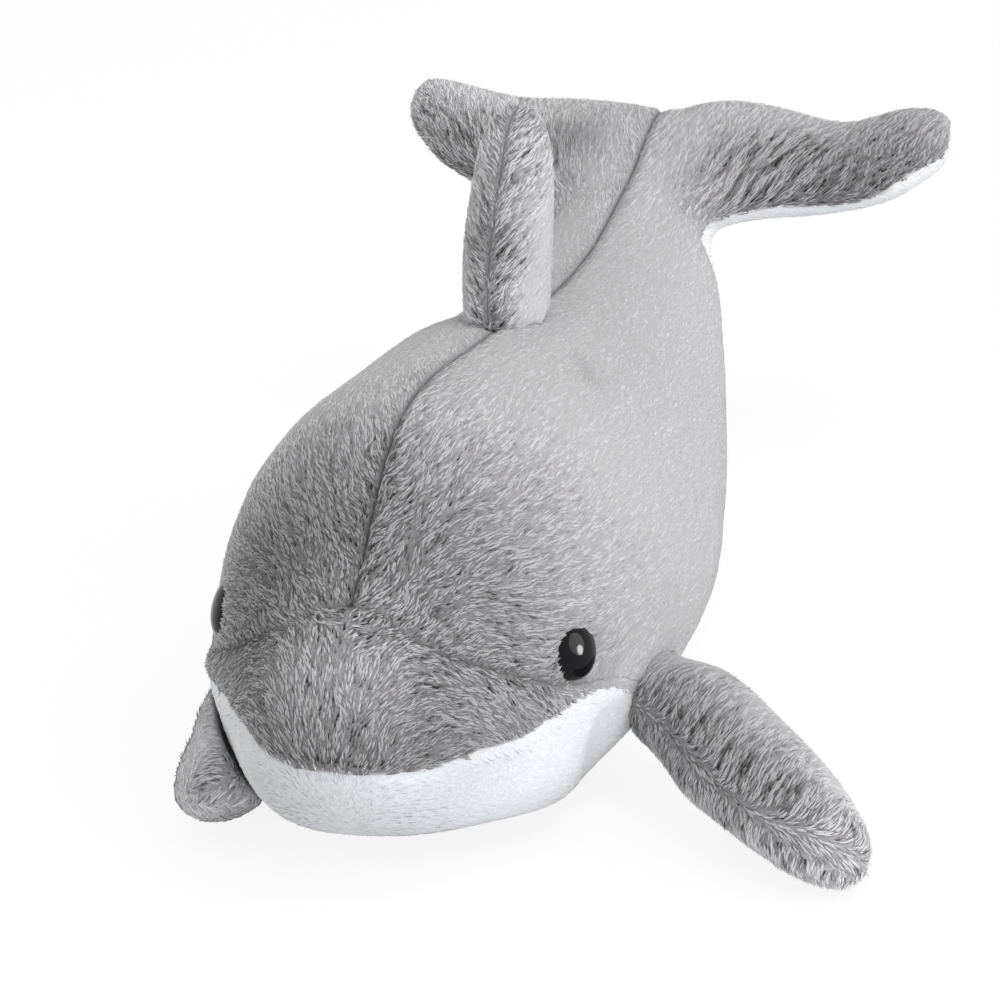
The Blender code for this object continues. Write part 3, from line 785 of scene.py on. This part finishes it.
ridges = {
    "fine": {"size": 0.9 * mm, "step": 0.4 * mm},
    "coarse": {"size": 1.2 * mm, "step": 0.9 * mm},
    "steps": 3,
    "gain": 6.0,
    "coarseGain": 1.3,
    "coarseFrom": 2.3 * mm,  # pile this long begins to part in coarse ridges
    "coarseOver": 0.5 * mm,
}
pile = {
    "grey": {
        "density": 3.6e6,  # the most tufts on a square metre
        "spacing": 0.38 * mm,
        "width": 0.56 * mm,
        "lift": 0.04,
        "calm": 0.8,  # how far the cloth's own shading shows instead of the tufts'
    },
    "white": {
        "density": 1.6e6,
        "spacing": 0.55 * mm,
        "width": 0.8 * mm,
        "lift": 0.02,
        "calm": 0.95,
    },
}


def tuftMesh():
    # a three-sided spindle one unit long, pointed at both ends and bent a little
    bm = bmesh.new()
    bmesh.ops.create_cone(bm, cap_ends=False, segments=3, radius1=0.5, radius2=0.0, depth=1.0)
    low = [v for v in bm.verts if v.co.z < 0]
    rim = [e for e in bm.edges if e.verts[0] in low and e.verts[1] in low]
    root = bmesh.ops.extrude_edge_only(bm, edges=rim)
    ends = [v for v in root["geom"] if isinstance(v, bmesh.types.BMVert)]
    bmesh.ops.pointmerge(bm, verts=ends, merge_co=(0, 0, -0.5))
    bmesh.ops.remove_doubles(bm, verts=bm.verts, dist=same)
    for vert in bm.verts:
        if vert in low:
            vert.co.z = tuft["belly"] - 0.5
            vert.co.x += tuft["bend"]
        vert.co.z += 0.5
    bmesh.ops.recalc_face_normals(bm, faces=bm.faces)
    mesh = meshFrom(bm, "tuft")
    setField(mesh, "along", vertexArray(mesh)[:, 2])
    mesh.shade_smooth()
    return mesh


def pileTree(kind, tuftItem, material, seed):
    tree = bpy.data.node_groups.new("pile_" + kind, "GeometryNodeTree")
    tree.interface.new_socket("Geometry", in_out="INPUT", socket_type="NodeSocketGeometry")
    tree.interface.new_socket("Geometry", in_out="OUTPUT", socket_type="NodeSocketGeometry")
    wire = Wire(tree)
    cloth = wire.add("NodeGroupInput")

    def stored(name, dataType="FLOAT"):
        return wire.add("GeometryNodeInputNamedAttribute", {"data_type": dataType}, {"Name": name})

    def random(low, high, number, dataType="FLOAT"):
        output = 0 if dataType == "FLOAT_VECTOR" else 1
        start = 0 if dataType == "FLOAT_VECTOR" else 2
        return wire.add("FunctionNodeRandomValue", {"data_type": dataType},
                        {start: low, start + 1: high, "Seed": seed * 10 + number}, output)

    def withRuffling(name):
        smooth, added = ruffling[name]
        return stored("ruffle") * added + smooth

    look = pile[kind]
    points = wire.add("GeometryNodeDistributePointsOnFaces", {"distribute_method": "POISSON"},
                      {"Mesh": cloth, "Distance Min": look["spacing"],
                       "Density Max": look["density"], "Density Factor": stored("crowd"),
                       "Seed": seed})
    normal = Wire(tree, points.socket.node.outputs["Normal"])
    where = wire.add("GeometryNodeInputPosition")
    coarse = ((stored("pile") - ridges["coarseFrom"]) * (1.0 / ridges["coarseOver"])).clamped()
    swirl = wire.add("ShaderNodeTexNoise", None,
                     {"Vector": where, "Scale": ruffled["curlGrain"], "Detail": 2.0,
                      "Roughness": 0.6}, 1)
    curl = stored("ruffle") * (ruffled["curl"] - ruffled["curlLost"] * coarse)
    swirl = swirl.vector("SUBTRACT", swirl, (0.5, 0.5, 0.5)).times(curl)
    stray = random((-1, -1, -1), (1, 1, 1), 1, "FLOAT_VECTOR")
    stray = stray.times(withRuffling("stray"))
    comb = stored("comb", "FLOAT_VECTOR")
    aim = comb.vector("ADD", comb, swirl)
    flat = aim.vector("DOT_PRODUCT", aim, normal)
    aim = aim.vector("SUBTRACT", aim, normal.times(flat))
    aim = aim.vector("NORMALIZE", aim)

    # noise drawn out along the nap: the pile stands in ridges, raised on the ridges and with painted
    # shade in the gaps between them
    def streaks(size, step):
        total = 0.0
        steps = range(-ridges["steps"], ridges["steps"] + 1)
        for number in steps:
            place = where.vector("ADD", where, aim.times(number * step))
            total = total + wire.add("ShaderNodeTexNoise", None,
                                     {"Vector": place, "Scale": 1.0 / size, "Detail": 0.0})
        return (total * (1.0 / len(steps)) - 0.5) * ridges["gain"]

    fine = streaks(**ridges["fine"])
    ridge = fine + (ridges["coarseGain"] * streaks(**ridges["coarse"]) - fine) * coarse

    lift = look["lift"] + stored("ruffle") * ruffled["lift"]
    aim = aim.vector("ADD", aim, normal.times(lift))
    aim = aim.vector("ADD", aim, stray)
    turn = wire.add("FunctionNodeAlignRotationToVector", {"axis": "Z"}, {"Vector": aim})
    turn = wire.add("FunctionNodeAlignRotationToVector", {"axis": "X", "pivot_axis": "Z"},
                    {"Rotation": turn, "Vector": normal})
    length = stored("pile") * random(*tuft["length"], 2)
    width = look["width"] * random(*tuft["width"], 3)
    thick = width * withRuffling("thickness")
    size = wire.add("ShaderNodeCombineXYZ", None, {"X": thick, "Y": width, "Z": length})
    strand = 1.0 + withRuffling("spread") * random(-1.0, 1.0, 4)
    # painted shade and light: tufts in the gaps between ridges are painted darker, those on the
    # ridges lighter
    strand = strand + ruffled["paintedRidgeShade"] * stored("ruffle") * ridge
    darkest, lightest = tuft["shade"]
    strand = strand.math("MINIMUM", strand.math("MAXIMUM", strand, darkest), lightest)
    strand = stored("tone") * strand
    points = wire.add("GeometryNodeStoreNamedAttribute", {"data_type": "FLOAT", "domain": "POINT"},
                      {"Geometry": points, "Name": "strand", "Value": strand})
    points = wire.add("GeometryNodeStoreNamedAttribute",
                      {"data_type": "FLOAT_VECTOR", "domain": "POINT"},
                      {"Geometry": points, "Name": "under", "Value": normal})
    height = ruffled["rootHeight"] + ruffled["ridgeHeight"] * stored("ruffle") * ridge
    points = wire.add("GeometryNodeSetPosition", None,
                      {"Geometry": points, "Offset": normal.times(height * mm)})
    shape = wire.add("GeometryNodeObjectInfo", None, {"Object": tuftItem}, 4)
    tufts = wire.add("GeometryNodeInstanceOnPoints", None,
                     {"Points": points, "Instance": shape, "Rotation": turn, "Scale": size})
    grown = wire.add("GeometryNodeRealizeInstances", None, {"Geometry": tufts})
    # the tufts are lit for the most part as the cloth under them is
    own = wire.add("GeometryNodeInputNormal")
    share = look["calm"] * (1.0 - ruffled["calmLost"] * stored("ruffle"))
    calm = own.vector("ADD", own.times(1.0 - share), stored("under", "FLOAT_VECTOR").times(share))
    grown = wire.add("GeometryNodeSetMeshNormal", {"mode": "FREE", "domain": "POINT"},
                     {"Mesh": grown, "Custom Normal": calm.vector("NORMALIZE", calm)})
    for name in ("comb", "crowd", "pile", "ruffle", "tone", "under"):
        grown = wire.add("GeometryNodeRemoveAttribute", None, {"Geometry": grown, "Name": name})
    grown = wire.add("GeometryNodeSetMaterial", None, {"Geometry": grown, "Material": material})
    wire.add("NodeGroupOutput", None, {"Geometry": grown})
    return tree


def pilePiece(mesh, number, name, kind, tuftItem, material, seed, keep=None):
    item = placed(meshFrom(panelPatch(mesh, number, keep), name), name)
    grow = item.modifiers.new("pile", "NODES")
    grow.node_group = pileTree(kind, tuftItem, material, seed)
    done = finishedMesh(item, name)
    return placed(done, name)


# Eyes

eye = {
    "sides": 48,
    "domeSteps": 14,
    "rim": 0.16,  # height of the straight edge, as a share of the head's
    "flat": 0.75,  # height of the dome, as a share of a round one
    "sunk": 1.3 * mm,
    "swell": 1.04,
    "sharpFrom": 40,  # degrees
    "tilt": 9.0,  # degrees that each eye looks up more than its hole
    "slip": {"left": (0, 0, 0), "right": (0.2, 0.5, 2.2)},  # how far each eye sits off its hole
}


def eyePiece(label, material):
    spots = [vert.co for vert in nodes["eye_" + label].data.vertices]
    middle = sum(spots, Vector()) / len(spots)
    washerSpots = [vert.co for vert in nodes["eye_washer_" + label].data.vertices]
    axis = (middle - sum(washerSpots, Vector()) / len(washerSpots)).normalized()
    foot = middle + axis * min((p - middle).dot(axis) for p in spots)
    along = [((p - foot).dot(axis), (p - foot - axis * (p - foot).dot(axis)).length)
             for p in spots]
    length = max(a for a, _ in along)
    radius = max(r for _, r in along)
    seat = min(a for a, r in along if r > 0.8 * radius)  # where the head begins
    stem = max(r for a, r in along if a < 0.4 * seat)
    rise = length - seat
    rim = eye["rim"] * rise
    dome = eye["flat"] * (rise - rim)
    bm = bmesh.new()
    profile = [(radius * math.sin(math.pi / 2 * k / eye["domeSteps"]),
                seat + rim + dome * math.cos(math.pi / 2 * k / eye["domeSteps"]))
               for k in range(eye["domeSteps"] + 1)]
    profile += [(radius - rim / 3, seat), (stem, seat), (stem, stem), (0.7 * stem, 0.0), (0.0, 0.0)]
    points = [bm.verts.new((r, 0.0, a)) for r, a in profile]
    edges = [bm.edges.new(pair) for pair in zip(points, points[1:])]
    bmesh.ops.spin(bm, geom=points + edges, axis=(0, 0, 1), cent=(0, 0, 0), angle=2 * math.pi,
                   steps=eye["sides"], use_merge=True)
    bmesh.ops.remove_doubles(bm, verts=bm.verts, dist=same)
    bmesh.ops.recalc_face_normals(bm, faces=bm.faces)
    level = Vector((0, 0, 1)).cross(axis).normalized()
    lifted = Matrix.Rotation(-math.radians(eye["tilt"]), 4, level)
    turn = lifted @ Vector((0, 0, 1)).rotation_difference(axis).to_matrix().to_4x4()
    spot = foot - axis * eye["sunk"] + Vector(eye["slip"][label]) * mm
    seated = Matrix.Translation(spot) @ turn @ Matrix.Scale(eye["swell"], 4)
    bmesh.ops.transform(bm, matrix=seated, verts=bm.verts)
    mesh = meshFrom(bm, "glossy_eye_" + label)
    mesh.materials.append(material)
    mesh.shade_smooth()
    mesh.set_sharp_from_angle(angle=math.radians(eye["sharpFrom"]))
    piece = placed(mesh, "glossy_eye_" + label)
    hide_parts("eye_" + label)
    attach(piece, "root")


# Build

materials = {
    "grey": pileMaterial("grey_pile", grey),
    "white": pileMaterial("white_pile", white),
    "greyCloth": backingMaterial("grey_cloth", grey),
    "whiteCloth": backingMaterial("white_cloth", white),
    "eye": eyeMaterial(),
    "washer": washerMaterial(),
}
tuftItem = placed(tuftMesh(), "tuft_source")
tuftItem.hide_render = True

# The pile of a long panel grows in stretches, each a piece: from and to, as stations

stretches = {"head": (-100, 52), "trunk": (52, 110), "rear": (110, 200), "tail": (200, 400)}


def within(start, end):
    low, high = (start - restStation) * mm, (end - restStation) * mm
    return lambda place: low <= place.y < high


seed = tuft["seed"]
for formName, form in forms.items():
    formMesh = dressedForm(formName, form)
    print("form", formName, len(formMesh.vertices))
    for number, panel in enumerate(form["panels"]):
        isWhite = panel == "belly_panel"
        kind = "white" if isWhite else "grey"
        cloth = clothPiece(formMesh, number, panel + "_cloth", materials[kind + "Cloth"])
        covered = [panel] + (form["inside"][:1] if number == 0 else [])
        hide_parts(*covered)
        pieces = [cloth]
        if formName == "body" and panel != "snout_panel":
            parts = {"_" + part: within(*ends) for part, ends in stretches.items()}
        else:
            parts = {"": None}
        for part, keep in parts.items():
            seed += 1
            name = panel + "_pile" + part
            pieces.append(pilePiece(formMesh, number, name, kind, tuftItem, materials[kind],
                                    seed, keep))
            print("pile", name, len(pieces[-1].data.polygons))
        for piece in pieces:
            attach(piece, "root")
bpy.data.objects.remove(tuftItem, do_unlink=True)

for label in ("left", "right"):
    eyePiece(label, materials["eye"])
    washer = nodes["eye_washer_" + label]
    if not washer.material_slots:
        washer.data.materials.append(None)
    for slotItem in washer.material_slots:
        slotItem.material = materials["washer"]
print("eyes set")


# Camera, as the photograph was taken

shot = {
    "azimuth": 19.64,
    "elevation": 24.42,
    "roll": -3.66,
    "place": (0.2425, -0.6581, 0.3689),
    "lens": 128.8,
    "sensor": 36.0,
    "nearest": 0.01,
}
cameraData = bpy.data.cameras.new("camera")
cameraData.lens = shot["lens"]
cameraData.sensor_width = shot["sensor"]
cameraData.clip_start = shot["nearest"]
camera = bpy.data.objects.new("camera", cameraData)
workCollection.objects.link(camera)
camera.matrix_world = (Matrix.Translation(shot["place"])
                       @ Matrix.Rotation(math.radians(shot["azimuth"]), 4, "Z")
                       @ Matrix.Rotation(math.radians(90 - shot["elevation"]), 4, "X")
                       @ Matrix.Rotation(math.radians(shot["roll"]), 4, "Z"))
bpy.context.scene.camera = camera


# Floor, world and lamps

studio = {
    "floorSize": 6.0,
    "floorWhite": 0.9,
    "floorGlow": 0.85,
    "world": 0.76,
    "lamps": {
        "key": {"from": (0.7, -0.2, 1.4), "size": 0.9, "power": 8.5},
        "side": {"from": (1.45, 0.25, 0.5), "size": 0.9, "power": 8.0},
        "glint": {"from": (1.45, 0.25, 0.2), "size": 0.32, "power": 9.0, "only": "visible_glossy"},
        "front": {"from": (-0.5, -1.3, 0.9), "size": 0.9, "power": 4.4},
        "fill": {"from": (0.8, -1.2, 0.25), "size": 0.9, "power": 4.6, "only": "visible_diffuse"},
    },
}


def looking(wire):  # one for what is seen straight, in gloss or through glass
    rays = wire.add("ShaderNodeLightPath")
    seen = [Wire(wire.tree, rays.socket.node.outputs[name])
            for name in ("Is Camera Ray", "Is Glossy Ray", "Is Transmission Ray")]
    return seen[0].math("MAXIMUM", seen[0], seen[1].math("MAXIMUM", seen[1], seen[2]))


def whiteStage():
    bm = bmesh.new()
    half = studio["floorSize"] / 2
    bmesh.ops.create_grid(bm, x_segments=1, y_segments=1, size=half)
    material, wire, shader = newMaterial("white_floor")
    direct = looking(wire)
    glow = wire.add("ShaderNodeEmission", None, {"Color": (1, 1, 1, 1), "Strength": 1.0})
    shader.inputs["Base Color"].default_value = (*[studio["floorWhite"]] * 3, 1.0)
    shader.inputs["Roughness"].default_value = 1.0
    shader.inputs["Specular IOR Level"].default_value = 0.0
    mixed = wire.add("ShaderNodeMixShader", None,
                     {0: direct * studio["floorGlow"], 1: Wire(wire.tree, shader.outputs[0]),
                      2: glow})
    output = wire.tree.nodes["Material Output"]
    wire.tree.links.new(mixed.socket, output.inputs["Surface"])
    mesh = meshFrom(bm, "floor")
    mesh.materials.append(material)
    floor = placed(mesh, "floor")


def softWorld():
    world = bpy.data.worlds.new("studio")
    world.use_nodes = True
    bpy.context.scene.world = world
    wire = Wire(world.node_tree)
    direct = looking(wire)
    strength = studio["world"] + direct * (1.0 - studio["world"])
    background = world.node_tree.nodes["Background"]
    background.inputs["Color"].default_value = (1, 1, 1, 1)
    world.node_tree.links.new(strength.socket, background.inputs["Strength"])


def softLamp(name, look):
    data = bpy.data.lights.new(name, "AREA")
    data.shape = "DISK"
    data.size = look["size"]
    data.energy = look["power"]
    lamp = bpy.data.objects.new(name, data)
    workCollection.objects.link(lamp)
    start = Vector(look["from"])
    if "only" in look:  # a lamp for the highlights alone, or for all but them
        lamp.visible_diffuse = look["only"] == "visible_diffuse"
        lamp.visible_glossy = look["only"] == "visible_glossy"
    lamp.matrix_world = Matrix.Translation(start) @ start.to_track_quat("Z", "Y").to_matrix().to_4x4()


whiteStage()
softWorld()
for lampName, look in studio["lamps"].items():
    softLamp(lampName, look)
bpy.context.scene.view_settings.view_transform = "Standard"
print("stage lit")
